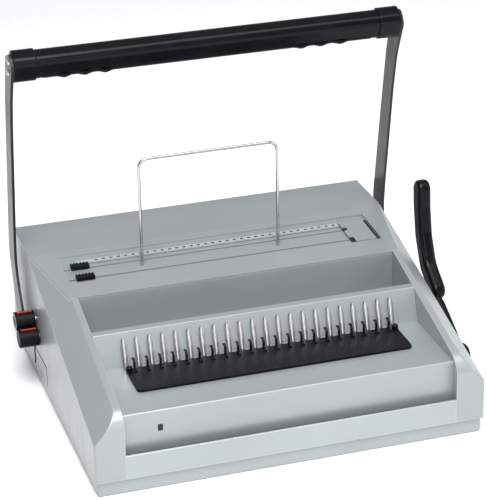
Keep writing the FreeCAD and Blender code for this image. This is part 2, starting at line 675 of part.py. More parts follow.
# Outline of a handle arm, front edge upwards and rear edge downwards: (along, up, corner radius).
ARM_OUTLINE = [
    (83.0, 36.0, 11.0), (81.0, 55.0, 9.0), (97.0, 83.0, 40.0), (119.0, 118.0, 60.0),
    (114.0, 160.0, 300.0), (91.0, 287.0, 300.0), (80.0, 333.0, 120.0), (61.0, 374.0, 8.0),
    (71.0, 390.0, 10.0), (91.0, 380.0, 8.0), (108.0, 330.0, 120.0), (127.0, 237.0, 300.0),
    (148.0, 128.0, 60.0), (124.0, 70.0, 40.0), (108.0, 40.0, 12.0)]


def make_handle():
    thick = size["arm_thick"]
    inner = size["arm_inner"]
    for name, low in (("left_arm", -inner - thick), ("right_arm", inner)):
        bore = Part.makeCylinder(size["shaft_radius"] + 0.02, 4 * thick,
                                 Vector(low - thick, size["pivot_along"], size["pivot_up"]), Vector(1, 0, 0))
        shaped(name, curved_plate(ARM_OUTLINE, low, low + thick).cut(bore))

    # The handle bar is made about the X axis, then moved up and tilted as one.
    bar_place = FreeCAD.Placement(Vector(0, size["bar_along"], size["bar_up"]),
                                  FreeCAD.Rotation(Vector(1, 0, 0), size["bar_tilt"]))
    half = size["bar_half"]
    core = rounded_bar(-half, half, 15.0, 12.0, 9.0)
    tube = core.cut(rounded_bar(-half - 1, half + 1, 13.2, 10.2, 7.2))
    shaped("handle_tube", tube, bar_place)

    for name, start, finish in (("left_end_cap", -inner, -half), ("right_end_cap", half, inner)):
        cap = rounded_bar(start, finish, 16.4, 13.4, 9.5)
        rims = [edge for edge in cap.Edges if edge.BoundBox.XLength < 1e-6]
        shaped(name, cap.makeFillet(1.2, rims), bar_place)

    # Soft insert round the lower front edge of the grip, with two sets of three finger ridges.
    insert_half = half - 8
    lower_front = Part.makeBox(2 * half, 20, 12, Vector(-half, -15, -20))
    insert = rounded_bar(-insert_half, insert_half, 15.4, 12.4, 9.4)
    ridge_gap = 22.8
    for centre in (-140.0, 128.0):
        for step in (-1, 0, 1):
            middle = centre + step * ridge_gap
            for proud, reach in ((0.9, 7.0), (1.4, 5.0), (1.9, 3.2), (2.3, 1.8)):
                insert = insert.fuse(rounded_bar(middle - reach, middle + reach, 15 + proud, 12 + proud,
                                                 9 + proud))
    insert = insert.common(lower_front).cut(core)
    shaped("grip_insert", max(insert.Solids, key=lambda solid: solid.Volume), bar_place)

    screws = []
    for side in (-1, 1):
        for shift in (-7.5, 7.5):
            start = Vector(side * (inner + thick), 0, shift)
            screws.append(Part.makeCone(3.9, 2.9, 1.6, start, Vector(side, 0, 0)))
    shaped("arm_screws", Part.makeCompound(screws), bar_place)

    hubs = []
    for side in (-1, 1):
        start = (side * (inner + thick), size["pivot_along"], size["pivot_up"])
        hubs.append(cylinder("hub_%d" % (side + 1), start, (side, 0, 0), "shaft_radius + 3", "3"))
    grouped("hub_caps", hubs)

    shaft = new_body("punch_shaft")
    drums(shaft, "rod", "YZ_Plane", [("pivot_along", "pivot_up", "shaft_radius")],
          "-arm_inner - arm_thick", "arm_inner + arm_thick")
    keep(shaft, "punch_shaft")

    # Two pairs of cams: the outer pair drives the wire punches, the inner pair the comb punches.
    cams = []
    disc_radius = 12.0
    nose_radius = 5.0
    nose_reach = 16.0
    for across, aim in ((-150, -64), (150, -64), (-138, 116), (138, 116)):
        centre = Vector(across, size["pivot_along"], size["pivot_up"])
        aim = math.radians(aim)
        nose = centre + Vector(0, math.cos(aim), math.sin(aim)) * nose_reach
        points = []
        for step in range(36):
            turn = math.radians(10 * step)
            way = Vector(0, math.cos(turn), math.sin(turn))
            if nose_radius + nose_reach * math.cos(turn - aim) > disc_radius:
                points.append(nose + way * nose_radius)
            else:
                points.append(centre + way * disc_radius)
        cam = Part.Face(Part.makePolygon(points + points[:1])).extrude(Vector(6, 0, 0))
        cams.append(cam.cut(Part.makeCylinder(size["shaft_radius"] + 0.02, 8, centre - Vector(1, 0, 0),
                                              Vector(1, 0, 0))))
    shaped("punch_cams", Part.makeCompound(cams))


def make_punches():
    bar = keep(new_body("comb_punch_bar"), "comb_punch_bar")
    block(bar, "beam", ("-160", "160"), ("75", "83"), ("100", "112"))
    for number, across in enumerate(("-138", "138")):
        block(bar, "leg_%d" % number, (across, across + " + 6"), ("75", "82.2"), ("43", "100.5"))
    pins = keep(new_body("comb_punches"), "comb_punches")
    first = "-pitch * (rings - 1) / 2"
    pin = prism(pins, "punch", "XZ_Plane", [
        (first + " - 4", "punch_height - 1.7"), (first + " + 4", "punch_height - 1.7"),
        (first + " + 4", "punch_height + 1.7"), (first + " - 4", "punch_height + 1.7")],
        "57.5", "75")
    repeat(pins, "punches", pin, "pitch", "rings")

    # The wire punch bar reaches under the die block with two rods, to be pushed from behind.
    pieces = []
    spans = [("beam", ("-160", "160"), ("1", "9"), ("100", "112"))]
    for across in ("-150", "150"):
        wide = (across, across + " + 6")
        side = "left" if across[0] == "-" else "right"
        spans += [(side + "_post", wide, ("1", "8"), ("79", "100")), (side + "_rod", wide, ("1", "111.8"),
                  ("72", "79")), (side + "_follower", wide, ("107.8", "111.8"), ("38", "72"))]
    for name, x_span, y_span, z_span in spans:
        body = new_body("wire_punch_" + name)
        block(body, "bar", x_span, y_span, z_span)
        pieces.append(body)
    grouped("wire_punch_bar", pieces)
    pins = keep(new_body("wire_punches"), "wire_punches")
    pin = drums(pins, "punch", "XZ_Plane", [("-wire_pitch * (loops - 1) / 2", "punch_height", "1.8")],
                "9", "26.5")
    repeat(pins, "punches", pin, "wire_pitch", "loops")

    jaw = keep(new_body("closing_jaw"), "closing_jaw")
    block(jaw, "blade", ("-inner_half + 14", "inner_half - 14"), ("shelf_front - 0.6", "shelf_front + 4"),
          ("trench_floor + 2.6", "lip_top - 5.6"))


def make_knob(knob, stop_along, stop_front, stop_rear, stop_left):
    """A side dial: ribbed knob, its red mark, its lead screw and the paper stop that it moves."""
    along = knob + "_knob_along"
    height = knob + "_knob_up"
    body = keep(new_body(knob + "_knob"), knob + "_knob")
    drums(body, "grip", "YZ_Plane", [(along, height, "knob_radius")], "knob_outer", "-half_width - 1")
    outer = size["knob_outer"]
    round_edges(body, "end_round", [(outer, size[along], size[height] + size["knob_radius"])], 1.0)
    grooves = 5
    groove_width = 1.3
    groove_gap = 3.6
    for number in range(grooves):
        start = "knob_outer + 4 + %s" % round(number * groove_gap, 3)
        sketch = new_sketch(body, "groove_%d_outline" % number, "YZ_Plane", start)
        draw_circle(sketch, (along, height), "knob_radius + 1")
        draw_circle(sketch, (along, height), "knob_radius - 0.8")
        raise_sketch(body, "groove_%d" % number, sketch, "YZ_Plane", start,
                     start + " + %s" % groove_width, True)
    drums(body, "socket", "YZ_Plane", [(along, height, "screw_radius + 0.02")], "-half_width - 10",
          "-half_width", cut=True)
    block(body, "mark_seat", ("knob_outer + 3", "-half_width - 3"), (along + " - 1.3", along + " + 1.3"),
          (height + " + knob_radius - 1", height + " + knob_radius + 1"), cut=True)
    mark = keep(new_body(knob + "_knob_mark"), knob + "_knob_mark")
    block(mark, "stripe", ("knob_outer + 3", "-half_width - 3"), (along + " - 1.3", along + " + 1.3"),
          (height + " + knob_radius - 1", height + " + knob_radius - 0.1"))

    screw = keep(new_body(knob + "_lead_screw"), knob + "_lead_screw")
    drums(screw, "rod", "YZ_Plane", [(along, height, "screw_radius")], "-half_width - 10", "-168")

    stop = keep(new_body(stop_along + "_edge_stop"), stop_along + "_edge_stop")
    slit = "slit_" + stop_along
    top = deck_height(slit) + " + 1.6"
    foot = deck_height(slit) + " - 2.4"
    block(stop, "thumb_block", (stop_left, stop_left + " + 20"), (stop_front, stop_rear), (foot, top))
    rib_count = 5
    for number in range(rib_count):
        start = stop_left + " + %s" % (1.6 + 3.8 * number)
        block(stop, "rib_gap_%d" % number, (start, start + " + 1.6"), (stop_front + " - 1", stop_rear + " + 1"),
              (top + " - 1", top + " + 1"), cut=True)
    tongue_end = stop_left + " + 6"
    block(stop, "tongue", (stop_left, tongue_end), (slit + " - 1", slit + " + 1"),
          (height + " + 2", foot + " + 0.5"))
    block(stop, "bridge", (stop_left, tongue_end), (slit + " - 1", along + " + 7"),
          (height + " - 6.5", height + " + 6.5"))
    drums(stop, "nut_bore", "YZ_Plane", [(along, height, "screw_radius + 0.08")], stop_left + " - 1",
          tongue_end + " + 1", cut=True)


def make_support():
    """Bent wire that holds the sheets upright behind the front throat."""
    low = size["support_low"]
    top = size["support_top"]
    left = size["support_left"]
    right = size["support_right"]
    along = size["support_along"]
    bend = 10.0
    diagonal = bend * (1 - math.sqrt(0.5))
    points = [Vector(left, along, low), Vector(left, along, top - bend),
              Vector(left + diagonal, along, top - diagonal), Vector(left + bend, along, top),
              Vector(right - bend, along, top), Vector(right - diagonal, along, top - diagonal),
              Vector(right, along, top - bend), Vector(right, along, low)]
    path = Part.Wire([Part.LineSegment(points[0], points[1]).toShape(),
                      Part.Arc(points[1], points[2], points[3]).toShape(),
                      Part.LineSegment(points[3], points[4]).toShape(),
                      Part.Arc(points[4], points[5], points[6]).toShape(),
                      Part.LineSegment(points[6], points[7]).toShape()])
    ring = Part.Wire([Part.Circle(points[0], Vector(0, 0, 1), size["support_radius"]).toShape()])
    shaped("paper_support", path.makePipeShell([ring], True, True))


def make_drawer():
    body = keep(new_body("chip_drawer"), "chip_drawer")
    block(body, "box", ("-half_width + wall + 0.5", "drawer_end"), ("drawer_front", "drawer_back"),
          ("drawer_low", "drawer_top"))
    block(body, "hollow", ("-half_width + wall + 3", "drawer_end - 2"), ("drawer_front + 2", "drawer_back - 2"),
          ("drawer_low + 2", "drawer_top + 1"), cut=True)
    front = keep(new_body("drawer_front"), "drawer_front")
    face = "-half_width + 0.8"
    margin = "1.2"
    block(front, "plate", (face, "-half_width + wall + 0.5"),
          ("drawer_front + " + margin, "drawer_back - " + margin), ("drawer_low", "drawer_top - " + margin))
    block(front, "finger_scoop", (face + " - 1", face + " + 1.2"), ("drawer_front + 26", "drawer_back - 26"),
          ("drawer_low - 1", "drawer_low + 4"), cut=True)

    rails = keep(new_body("drawer_rails"), "drawer_rails")
    ledge = "drawer_low - 0.1"
    prism(rails, "front_rail", "YZ_Plane", [
        ("drawer_front - 2.2", "tray_floor_top"), ("drawer_front + 6", "tray_floor_top"),
        ("drawer_front + 6", ledge), ("drawer_front - 0.4", ledge), ("drawer_front - 0.4", "drawer_low + 6"),
        ("drawer_front - 2.2", "drawer_low + 6")], "-192", "drawer_end + 2")
    prism(rails, "rear_rail", "YZ_Plane", [
        ("drawer_back + 2.2", "tray_floor_top"), ("drawer_back - 6", "tray_floor_top"),
        ("drawer_back - 6", ledge), ("drawer_back + 0.4", ledge), ("drawer_back + 0.4", "drawer_low + 6"),
        ("drawer_back + 2.2", "drawer_low + 6")], "-192", "drawer_end + 2")


# Middle line of the opening lever from its shaft to the tip of its grip: (along, up).
LEVER_LINE = [(-115.0, 46.0), (-55.0, 77.0), (-28.0, 86.0), (-1.5, 104.5), (13.8, 136.0), (20.2, 170.5),
              (21.3, 190.0)]


def ribbon(line, half_width, low, high, corner):
    """A plate of constant width along a line of points, with rounded corners."""
    count = len(line)
    ahead = []
    behind = []
    for step, (along, up) in enumerate(line):
        last = line[max(step - 1, 0)]
        following = line[min(step + 1, count - 1)]
        run = Vector(following[0] - last[0], following[1] - last[1], 0).normalize()
        side = Vector(-run.y, run.x, 0) * half_width
        reach = Vector(0, 0, 0)
        if step in (0, count - 1):
            reach = run * (half_width if step else -half_width)
        ahead.append((along + side.x + reach.x, up + side.y + reach.y))
        behind.append((along - side.x + reach.x, up - side.y + reach.y))
    ends = {0, count - 1}
    points = [(a, u, half_width * 0.98 if step in ends else corner) for step, (a, u) in enumerate(ahead)]
    points += [(a, u, half_width * 0.98 if step in ends else corner)
               for step, (a, u) in reversed(list(enumerate(behind)))]
    return curved_plate(points, low, high)


def make_lever():
    along = size["lever_along"]
    up = size["lever_up"]
    inner = size["lever_inner"]
    thick = size["lever_thick"]
    axle = Part.makeCylinder(5.02, 4 * thick, Vector(inner - 2 * thick, along, up), Vector(1, 0, 0))
    collar = size["boss_outer"] + 0.6
    hub = Part.makeCylinder(13, inner + thick - collar, Vector(collar, along, up), Vector(1, 0, 0))
    plate = ribbon(LEVER_LINE[:-1], 5.0, inner, inner + thick, 10.0).fuse(hub).cut(axle).removeSplitter()
    shaped("lever_plate", plate)

    # The moulded grip encloses the upper part of the plate.
    grip = ribbon(LEVER_LINE[2:], 10.5, inner - 3.3, inner + 12.3, 26.0)
    rims = [edge for edge in grip.Edges if edge.BoundBox.XLength < 1e-6]
    grip = grip.makeFillet(5.0, rims)
    shaped("lever_grip", max(grip.cut(plate).Solids, key=lambda solid: solid.Volume))

    boss = new_body("lever_boss")
    drums(boss, "disc", "YZ_Plane", [("lever_along", "lever_up", "28")], "half_width", "boss_outer")
    drums(boss, "bore", "YZ_Plane", [("lever_along", "lever_up", "5.3")], "half_width - 1", "lever_inner",
          cut=True)
    round_edges(boss, "rim_round", [(size["boss_outer"], along, up + 28)], 4.0)
    keep(boss, "lever_boss")

    cap = new_body("lever_cap")
    drums(cap, "disc", "YZ_Plane", [("lever_along", "lever_up", "11")], "lever_inner + lever_thick",
          "lever_inner + lever_thick + 3")
    round_edges(cap, "rim_round", [(inner + thick + 3, along, up + 11)], 1.5)
    keep(cap, "lever_cap")

    shaft = new_body("lever_shaft")
    drums(shaft, "rod", "YZ_Plane", [("lever_along", "lever_up", "5")], "-163", "lever_inner + lever_thick")
    keep(shaft, "lever_shaft")

    bracket = keep(new_body("lever_bracket"), "lever_bracket")
    prism(bracket, "pedestal", "YZ_Plane", [
        ("lever_along - 18", "tray_floor_top"), ("lever_along + 18", "tray_floor_top"),
        ("lever_along + 10", "lever_up + 10"), ("lever_along - 10", "lever_up + 10")], "-162", "-156")
    drums(bracket, "bore", "YZ_Plane", [("lever_along", "lever_up", "5.05")], "-163", "-155", cut=True)

    pinions = []
    module = size["tooth_module"]
    radius = size["rack_radius"]
    teeth = int(round(2 * radius / module))
    tip = radius + 0.8 * module
    root = radius - 1.2 * module
    step_angle = 2 * math.pi / teeth
    for side in (-1, 1):
        corners = []
        for tooth in range(teeth):
            # A tooth stands straight up, so that the rack has a gap there.
            middle = math.pi / 2 + tooth * step_angle
            for reach, share in ((root, -0.31), (tip, -0.11), (tip, 0.11), (root, 0.31)):
                angle = middle + share * step_angle
                corners.append(Vector(side * size["rack_reach"] - 2.4, along + reach * math.cos(angle),
                                      up + reach * math.sin(angle)))
        wheel = Part.Face(Part.makePolygon(corners + corners[:1])).extrude(Vector(4.8, 0, 0))
        bore = Part.makeCylinder(5.02, 8, Vector(side * size["rack_reach"] - 4, along, up), Vector(1, 0, 0))
        pinions.append(wheel.cut(bore))
    shaped("lever_pinions", Part.makeCompound(pinions))


def make_carriage():
    """Black sliding plate with the hooks that pull the comb's rings open."""
    plate = keep(new_body("hook_plate"), "hook_plate")
    block(plate, "sheet", ("-pitch * 10.65", "pitch * 10.65"), ("-153", "-101.5"),
          ("shelf_top + 0.4", "shelf_top + 2.9"))
    half = 10.65 * size["pitch"]
    high = size["shelf_top"] + 1
    round_edges(plate, "corner_round", [(-half, -153, high), (half, -153, high)], 5.0)

    hooks = keep(new_body("opener_hooks"), "opener_hooks")
    top = "shelf_top + 2.9"
    hook = prism(hooks, "hook", "YZ_Plane", [
        ("-112", top), ("-103.4", top), ("-103.4", top + " + 7.5"), ("-101", top + " + 9.4"),
        ("-97.4", top + " + 8.6"), ("-97.4", top + " + 10.2"), ("-101", top + " + 11.2"),
        ("-105", top + " + 8.4"), ("-105", top + " + 1.6"), ("-112", top + " + 1.6")],
        "-pitch * 10 - 1.2", "-pitch * 10 + 1.2")
    pattern = hooks.newObject("PartDesign::LinearPattern", "hooks")
    pattern.Originals = [hook]
    pattern.Direction = (hook.Profile[0], ["N_Axis"])
    bind(pattern, "Length", "pitch * (rings - 1)")
    bind(pattern, "Occurrences", "rings")
    hooks.Tip = pattern
    document.recompute()

    pins = []
    for side in (-1, 1):
        pin = new_body("guide_pin_%d" % (side + 1))
        centre = ("%d * pitch * 10.45" % side, "-107")
        drums(pin, "post", "XY_Plane", [(centre[0], centre[1], "3.4")], "shelf_top + 2.9", "shelf_top + 8.4")
        round_edges(pin, "dome", [(side * size["pitch"] * 10.45, -107 - 3.4, size["shelf_top"] + 8.4)], 2.4)
        pins.append(pin)
    grouped("guide_pins", pins)

    module = size["tooth_module"]
    pitch_line = size["lever_up"] + size["rack_radius"]
    gap = math.pi * module
    rack_teeth = 7
    racks = []
    for side in (-1, 1):
        low = side * size["rack_reach"] - 2.4
        start = size["lever_along"] - gap
        finish = start + rack_teeth * gap
        neck = size["lever_along"] + 5.5
        plate_foot = size["shelf_top"] + 0.4
        tip = pitch_line - 0.8 * module
        root = pitch_line + 1.2 * module
        corners = [(start, root + 3), (neck - 6, root + 3), (neck - 6, plate_foot), (neck, plate_foot),
                   (neck, root + 3), (finish, root + 3)]
        for tooth in range(rack_teeth - 1, -1, -1):
            middle = start + (tooth + 0.5) * gap
            for share, height in ((0.31, root), (0.11, tip), (-0.11, tip), (-0.31, root)):
                corners.append((middle + share * gap, height))
        shape = [Vector(low, a, u) for a, u in corners]
        racks.append(Part.Face(Part.makePolygon(shape + shape[:1])).extrude(Vector(4.8, 0, 0)))
    shaped("carriage_racks", Part.makeCompound(racks))


make_side_panels()
make_rear_cover()
make_slot_deck()
make_trough_tray()
make_comb_panel()
make_comb_fingers()
make_shelf_panel()
make_front_cover()
make_base()
make_frames()
make_die_block()
make_deck_fittings()
make_handle()
make_punches()
make_knob("upper", "rear", "50.5", "61", "-171")
make_knob("lower", "front", "24.5", "34.5", "-171")
make_support()
make_drawer()
make_lever()
make_carriage()
document.recompute()

for item in document.Objects:
    if "Invalid" in item.State or "Error" in item.State:
        raise RuntimeError("failed object: " + item.Label)
os.makedirs("parts", exist_ok=True)
for old_file in os.listdir("parts"):
    os.remove(os.path.join("parts", old_file))
for name, item in sorted(nodes.items()):
    shape = item.Shape
    if shape.isNull() or not shape.isValid() or not shape.Solids:
        raise RuntimeError("bad shape: " + name)
    shape.exportStep(os.path.join("parts", name + ".step"))
    box = shape.BoundBox
    print("%-22s %3d solids  x %7.1f %7.1f  y %7.1f %7.1f  z %6.1f %6.1f" % (
        name, len(shape.Solids), box.XMin, box.XMax, box.YMin, box.YMax, box.ZMin, box.ZMax))
print(len(nodes), "nodes")
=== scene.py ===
"""Looks of the comb and wire binding machine: materials, small details, light and camera."""
import json
import math
import bmesh
import bpy
from mathutils import Matrix, Vector


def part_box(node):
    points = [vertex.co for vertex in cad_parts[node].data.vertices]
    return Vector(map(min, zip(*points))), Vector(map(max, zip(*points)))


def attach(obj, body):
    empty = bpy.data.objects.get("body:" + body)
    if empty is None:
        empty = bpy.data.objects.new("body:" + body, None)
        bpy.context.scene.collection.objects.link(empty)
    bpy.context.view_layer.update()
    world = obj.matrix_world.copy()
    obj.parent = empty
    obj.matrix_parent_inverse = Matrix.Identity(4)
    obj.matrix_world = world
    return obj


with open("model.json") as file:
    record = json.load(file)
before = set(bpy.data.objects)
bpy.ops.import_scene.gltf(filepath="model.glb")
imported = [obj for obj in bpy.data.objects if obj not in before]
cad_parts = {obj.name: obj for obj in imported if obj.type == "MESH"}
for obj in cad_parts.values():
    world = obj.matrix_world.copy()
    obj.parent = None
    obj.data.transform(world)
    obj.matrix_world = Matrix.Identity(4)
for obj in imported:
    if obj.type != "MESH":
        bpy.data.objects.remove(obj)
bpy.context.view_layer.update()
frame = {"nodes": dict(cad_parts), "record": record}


# ------------------------------------------------------------------ material building
class Recipe:
    """A node material with short calls for the nodes that the looks need."""

    def __init__(self, name):
        self.material = bpy.data.materials.new(name)
        self.material.use_nodes = True
        self.nodes = self.material.node_tree.nodes
        self.links = self.material.node_tree.links
        self.shader = self.nodes["Principled BSDF"]
        self.place = self.nodes.new("ShaderNodeTexCoord").outputs["Object"]

    def add(self, kind, **settings):
        node = self.nodes.new("ShaderNode" + kind)
        for key, value in settings.items():
            setattr(node, key, value)
        return node

    def feed(self, socket, value):
        if hasattr(value, "links"):
            self.links.new(value, socket)
        else:
            socket.default_value = value

    def stretched(self, scale):
        """Object coordinates stretched by a factor for each axis."""
        mapping = self.add("Mapping")
        self.feed(mapping.inputs["Vector"], self.place)
        mapping.inputs["Scale"].default_value = scale
        return mapping.outputs["Vector"]

    def noise(self, scale, detail=3.0, roughness=0.5, stretch=None):
        node = self.add("TexNoise")
        node.inputs["Scale"].default_value = scale
        node.inputs["Detail"].default_value = detail
        node.inputs["Roughness"].default_value = roughness
        self.feed(node.inputs["Vector"], self.stretched(stretch) if stretch else self.place)
        return node.outputs["Fac"]

    def ramp(self, value, low, high, first=0.0, last=1.0):
        """Map value from low..high to first..last, clamped."""
        node = self.add("MapRange", clamp=True)
        for name, number in (("From Min", low), ("From Max", high), ("To Min", first), ("To Max", last)):
            node.inputs[name].default_value = number
        self.feed(node.inputs["Value"], value)
        return node.outputs["Result"]

    def math(self, operation, a, b=0.0):
        node = self.add("Math", operation=operation)
        self.feed(node.inputs[0], a)
        self.feed(node.inputs[1], b)
        return node.outputs[0]

    def blend(self, amount, a, b):
        node = self.add("MixRGB", blend_type="MIX")
        self.feed(node.inputs["Fac"], amount)
        for socket, value in ((node.inputs["Color1"], a), (node.inputs["Color2"], b)):
            self.feed(socket, value if hasattr(value, "links") else tuple(value) + (1.0,))
        return node.outputs["Color"]

    def edges(self, radius):
        """Mask that is bright where the surface turns sharply within a radius, used to paint a highlight
        along the edges.
        """
        bevel = self.add("Bevel", samples=4)
        bevel.inputs["Radius"].default_value = radius
        geometry = self.add("NewGeometry")
        dot = self.add("VectorMath", operation="DOT_PRODUCT")
        self.feed(dot.inputs[0], bevel.outputs["Normal"])
        self.feed(dot.inputs[1], geometry.outputs["Normal"])
        return self.ramp(dot.outputs["Value"], 0.995, 0.80)

    def corner_shade(self, distance):
        """Mask that is bright in corners, where painted shade darkens the colour."""
        node = self.add("AmbientOcclusion", samples=6)
        node.inputs["Distance"].default_value = distance
        return self.ramp(node.outputs["AO"], 0.75, 0.25)

    def bump(self, height, strength, distance):
        node = self.add("Bump")
        node.inputs["Strength"].default_value = strength
        node.inputs["Distance"].default_value = distance
        self.feed(node.inputs["Height"], height)
        return node.outputs["Normal"]

    def finish(self, colour, roughness, normal=None, **constants):
        self.feed(self.shader.inputs["Base Color"], colour)
        self.feed(self.shader.inputs["Roughness"], roughness)
        if normal is not None:
            self.feed(self.shader.inputs["Normal"], normal)
        for name, value in constants.items():
            self.shader.inputs[name.replace("_", " ")].default_value = value
        return self.material


def tint(colour, factor):
    return tuple(min(1.0, part * factor) for part in colour)


def metallic_paint(name, colour, roughness=0.36):
    """Silver-grey paint: fine metallic grain, faint orange peel, paler edges (painted highlight, and
    wear), painted shade in corners.
    """
    make = Recipe(name)
    cloud = make.noise(9.0, 4.0)
    grain = make.noise(2600.0, 2.0, 0.7)
    base = make.blend(make.ramp(cloud, 0.3, 0.7), tint(colour, 0.96), tint(colour, 1.04))
    base = make.blend(make.ramp(grain, 0.42, 0.62, 0.0, 0.30), base, tint(colour, 1.18))
    # Paler edges: painted highlight, and wear.
    base = make.blend(make.math("MULTIPLY", make.edges(0.0016), 0.55), base, tint(colour, 1.7))
    # Darker corners: painted shade.
    base = make.blend(make.math("MULTIPLY", make.corner_shade(0.006), 0.18), base, tint(colour, 0.66))
    smear = make.noise(26.0, 6.0, 0.6, (1.0, 3.0, 1.0))
    rough = make.ramp(smear, 0.3, 0.75, roughness - 0.05, roughness + 0.08)
    peel = make.bump(make.noise(420.0, 2.0), 0.10, 0.0004)
    return make.finish(base, rough, peel, Metallic=0.4, Coat_Weight=0.2, Coat_Roughness=0.25)


def moulded_black(name, colour, roughness, grain_scale, strength):
    """Black plastic with a fine moulded grain, faint dust and a painted highlight that greys the edges.
    """
    make = Recipe(name)
    grain = make.noise(grain_scale, 3.0, 0.6)
    dust = make.noise(60.0, 5.0, 0.65)
    base = make.blend(make.ramp(dust, 0.45, 0.75, 0.0, 0.5), colour, tint(colour, 1.6))
    # Greyed edges: painted highlight.
    base = make.blend(make.math("MULTIPLY", make.edges(0.0008), 0.4), base, tint(colour, 2.5))
    rough = make.ramp(make.noise(45.0, 6.0), 0.3, 0.7, roughness - 0.05, roughness + 0.10)
    return make.finish(base, rough, make.bump(grain, strength, 0.0003), Specular_IOR_Level=0.10)


def polished_black(name, colour, roughness, shine):
    """Glossy black grip: hairline scratches along X, smudges, faint waviness from moulding, and a painted
    highlight on the edges.
    """
    make = Recipe(name)
    smudge = make.noise(34.0, 5.0, 0.6)
    hair = make.noise(900.0, 2.0, 0.5, (0.06, 1.0, 1.0))
    base = make.blend(make.ramp(smudge, 0.4, 0.8), colour, tint(colour, 1.8))
    # Paler edges: painted highlight.
    base = make.blend(make.math("MULTIPLY", make.edges(0.0008), 0.3), base, tint(colour, 3.0))
    rough = make.math("ADD", make.ramp(smudge, 0.35, 0.75, roughness, roughness + 0.14),
                      make.ramp(hair, 0.6, 0.8, 0.0, 0.12))
    wave = make.bump(make.noise(70.0, 2.0), 0.12, 0.0006)
    return make.finish(base, rough, wave, Specular_IOR_Level=shine)


def bare_metal(name, colour, roughness, stretch, metallic=1.0):
    """Drawn or ground metal: fine lines along one direction, painted shade in corners."""
    make = Recipe(name)
    lines = make.noise(700.0, 4.0, 0.6, stretch)
    stain = make.noise(30.0, 4.0)
    base = make.blend(make.ramp(lines, 0.35, 0.7), tint(colour, 0.88), tint(colour, 1.08))
    base = make.blend(make.ramp(stain, 0.5, 0.8, 0.0, 0.25), base, tint(colour, 0.72))
    # Darker corners: painted shade.
    base = make.blend(make.math("MULTIPLY", make.corner_shade(0.004), 0.3), base, tint(colour, 0.5))
    rough = make.ramp(lines, 0.3, 0.7, roughness - 0.05, roughness + 0.10)
    return make.finish(base, rough, make.bump(lines, 0.08, 0.0002), Metallic=metallic)


def printed(name, colour, roughness=0.55):
    """Matt ink or matt moulding with slight mottling and painted shade in corners."""
    make = Recipe(name)
    mottle = make.noise(380.0, 4.0, 0.65)
    base = make.blend(make.ramp(mottle, 0.35, 0.7), tint(colour, 0.85), tint(colour, 1.1))
    # Darker corners: painted shade.
    base = make.blend(make.math("MULTIPLY", make.corner_shade(0.003), 0.4), base, tint(colour, 0.5))
    rough = make.ramp(mottle, 0.3, 0.7, roughness - 0.06, roughness + 0.08)
    return make.finish(base, rough, make.bump(mottle, 0.06, 0.0002))


SILVER = (0.285, 0.306, 0.310)
LOOKS = {
    "housing_grey": metallic_paint("housing_paint", SILVER),
    # The front_grey parts get a paler copy of the housing paint: painted light.
    "front_grey": metallic_paint("front_paint_lit_copy", tint(SILVER, 1.10)),
    "arm_grey": polished_black("arm_enamel", (0.008, 0.009, 0.011), 0.24, 0.30),
    "grip_black": polished_black("grip_gloss", (0.0022, 0.0024, 0.003), 0.16, 0.14),
    "black_plastic": moulded_black("black_moulding", (0.004, 0.004, 0.005), 0.45, 900.0, 0.25),
    "black_steel": moulded_black("black_enamel", (0.004, 0.004, 0.005), 0.38, 260.0, 0.10),
    "bright_steel": bare_metal("bright_nickel", (0.52, 0.50, 0.48), 0.14, (1.0, 1.0, 0.05)),
    "plain_steel": bare_metal("zinc_steel", (0.52, 0.52, 0.53), 0.34, (0.05, 1.0, 1.0)),
    "white_strip": printed("pale_strip", (0.31, 0.33, 0.335)),
    "red_mark": printed("red_mark", (0.50, 0.035, 0.03), 0.42),
    "foot_rubber": moulded_black("foot_rubber", (0.008, 0.008, 0.008), 0.75, 500.0, 0.35),
}
grey_ink = printed("grey_ink", (0.14, 0.145, 0.15))
finger_chrome = bare_metal("finger_chrome", (0.60, 0.59, 0.62), 0.30, (1.0, 1.0, 0.05))
# Flat black for the pieces below that stand in for shade in holes and gaps: painted shade.
hole_shade = printed("hole_shade", (0.006, 0.006, 0.007), 0.7)

for entry in frame["record"]["subparts"]:
    node = frame["nodes"][entry["node"]]
    for place in node.material_slots:
        place.material = LOOKS[entry["material_slot"]]
for place in frame["nodes"]["comb_fingers"].material_slots:
    place.material = finger_chrome


# ------------------------------------------------------------------ small pieces
def piece(name, mesh, body, material):
    """Turn a bmesh into a piece that rides on a body of the frame."""
    data = bpy.data.meshes.new(name)
    bmesh.ops.recalc_face_normals(mesh, faces=mesh.faces)
    mesh.to_mesh(data)
    mesh.free()
    data.materials.append(material)
    for polygon in data.polygons:
        polygon.use_smooth = False
    item = bpy.data.objects.new(name, data)
    bpy.context.scene.collection.objects.link(item)
    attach(item, body)


def facing(centre, outward, twist=0.0):
    """A frame at centre whose Z axis points outward."""
    outward = Vector(outward).normalized()
    turn = outward.to_track_quat("Z", "Y").to_matrix().to_4x4()
    return Matrix.Translation(Vector(centre)) @ turn @ Matrix.Rotation(twist, 4, "Z")


def lathe(mesh, place, profile, steps):
    """Spin (radius, height) points, none of them on the axis, around the Z axis of a frame."""
    rings = []
    for radius, height in profile:
        ring = []
        for step in range(steps):
            angle = 2 * math.pi * step / steps
            ring.append(mesh.verts.new(place @ Vector((radius * math.cos(angle), radius * math.sin(angle),
                                                       height))))
        rings.append(ring)
    for low, high in zip(rings, rings[1:]):
        for step in range(steps):
            after = (step + 1) % steps
            mesh.faces.new((low[step], low[after], high[after], high[step]))


